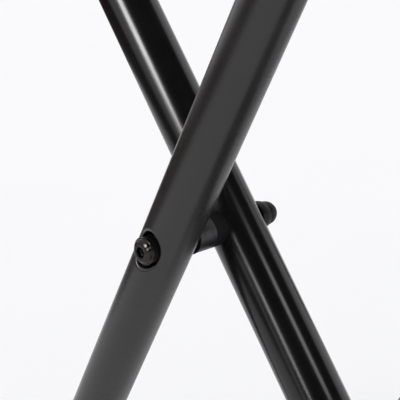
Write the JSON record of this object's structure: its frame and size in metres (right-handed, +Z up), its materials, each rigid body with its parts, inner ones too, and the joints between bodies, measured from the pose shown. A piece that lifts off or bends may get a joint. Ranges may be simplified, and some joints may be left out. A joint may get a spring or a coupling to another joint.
{
  "type": "music stand",
  "caption": "Folding X-frame music stand of round steel tube, with padded instrument arms, rubber feet, through-bolted leg pivots and a slotted lock disc held by a clamp knob.",
  "frame": {"origin": "on the floor, under the middle of the stand (bounding box bottom centre)", "axes": "+Z up; X is the width in which the legs cross; Y is the pivot axis and the depth, with the clamp knob on the +Y side and the cross seen close up on the -Y side"},
  "size_m": [0.5538, 0.648, 0.8657],
  "materials": {
    "powder_coat": "satin black powder coat with fine orange peel",
    "powder_coat_rear": "semi-gloss black powder coat",
    "black_oxide": "black oxide, satin",
    "zinc_steel": "dull zinc plate",
    "nylon": "moulded nylon, matte",
    "rubber": "moulded rubber, matte",
    "knob_plastic": "fine textured plastic",
    "brass": "turned"
  },
  "bodies": {
    "outer_frame": {"outer_leg_front": "powder_coat", "outer_leg_rear": "powder_coat", "outer_foot_bar": "powder_coat", "outer_top_arm": "powder_coat", "pivot_screws": "black_oxide", "pivot_seat_bushes": "nylon", "thrust_washers": "nylon", "nut_washers": "black_oxide", "cap_nuts": "black_oxide", "outer_leg_plug_foot_front": "nylon", "outer_leg_plug_foot_rear": "nylon", "outer_leg_plug_top_front": "nylon", "outer_leg_plug_top_rear": "nylon", "outer_plug_nuts": "zinc_steel", "outer_bar_screws": "black_oxide", "outer_bar_seat_bushes": "nylon", "foot_cap_outer_rear": "rubber", "foot_cap_outer_front": "rubber", "arm_stop_outer_rear": "rubber", "arm_stop_outer_front": "rubber", "outer_arm_sleeve": "rubber", "clamp_pad": "nylon", "knob_washer": "nylon", "clamp_sleeve": "zinc_steel", "clamp_stud": "zinc_steel"},
    "inner_frame": {"inner_leg_front": "powder_coat_rear", "inner_leg_rear": "powder_coat_rear", "inner_foot_bar": "powder_coat_rear", "inner_top_arm": "powder_coat_rear", "pivot_barrel_front": "zinc_steel", "pivot_barrel_rear": "zinc_steel", "pivot_bushes": "nylon", "pivot_collars": "nylon", "inner_leg_plug_foot_front": "nylon", "inner_leg_plug_foot_rear": "nylon", "inner_leg_plug_top_front": "nylon", "inner_leg_plug_top_rear": "nylon", "inner_plug_nuts": "zinc_steel", "inner_bar_screws": "black_oxide", "inner_bar_seat_bushes": "nylon", "foot_cap_inner_rear": "rubber", "foot_cap_inner_front": "rubber", "arm_stop_inner_rear": "rubber", "arm_stop_inner_front": "rubber", "inner_arm_sleeve": "rubber", "lock_disc": "black_oxide", "disc_rivets": "zinc_steel", "disc_spacers": "nylon"},
    "clamp_knob": {"star_knob": "knob_plastic", "knob_insert": "brass"}
  },
  "joints": [
    {"name": "fold", "type": "hinge", "parent": "outer_frame", "child": "inner_frame", "pos_m": [0, 0, 0.42283], "axis": [0, 1, 0], "range_deg": [-65, 55]},
    {"name": "knob_turn", "type": "hinge", "parent": "outer_frame", "child": "clamp_knob", "pos_m": [0.02364, 0.2861, 0.45994], "axis": [0, 1, 0], "range_deg": [0, 360]}
  ]
}
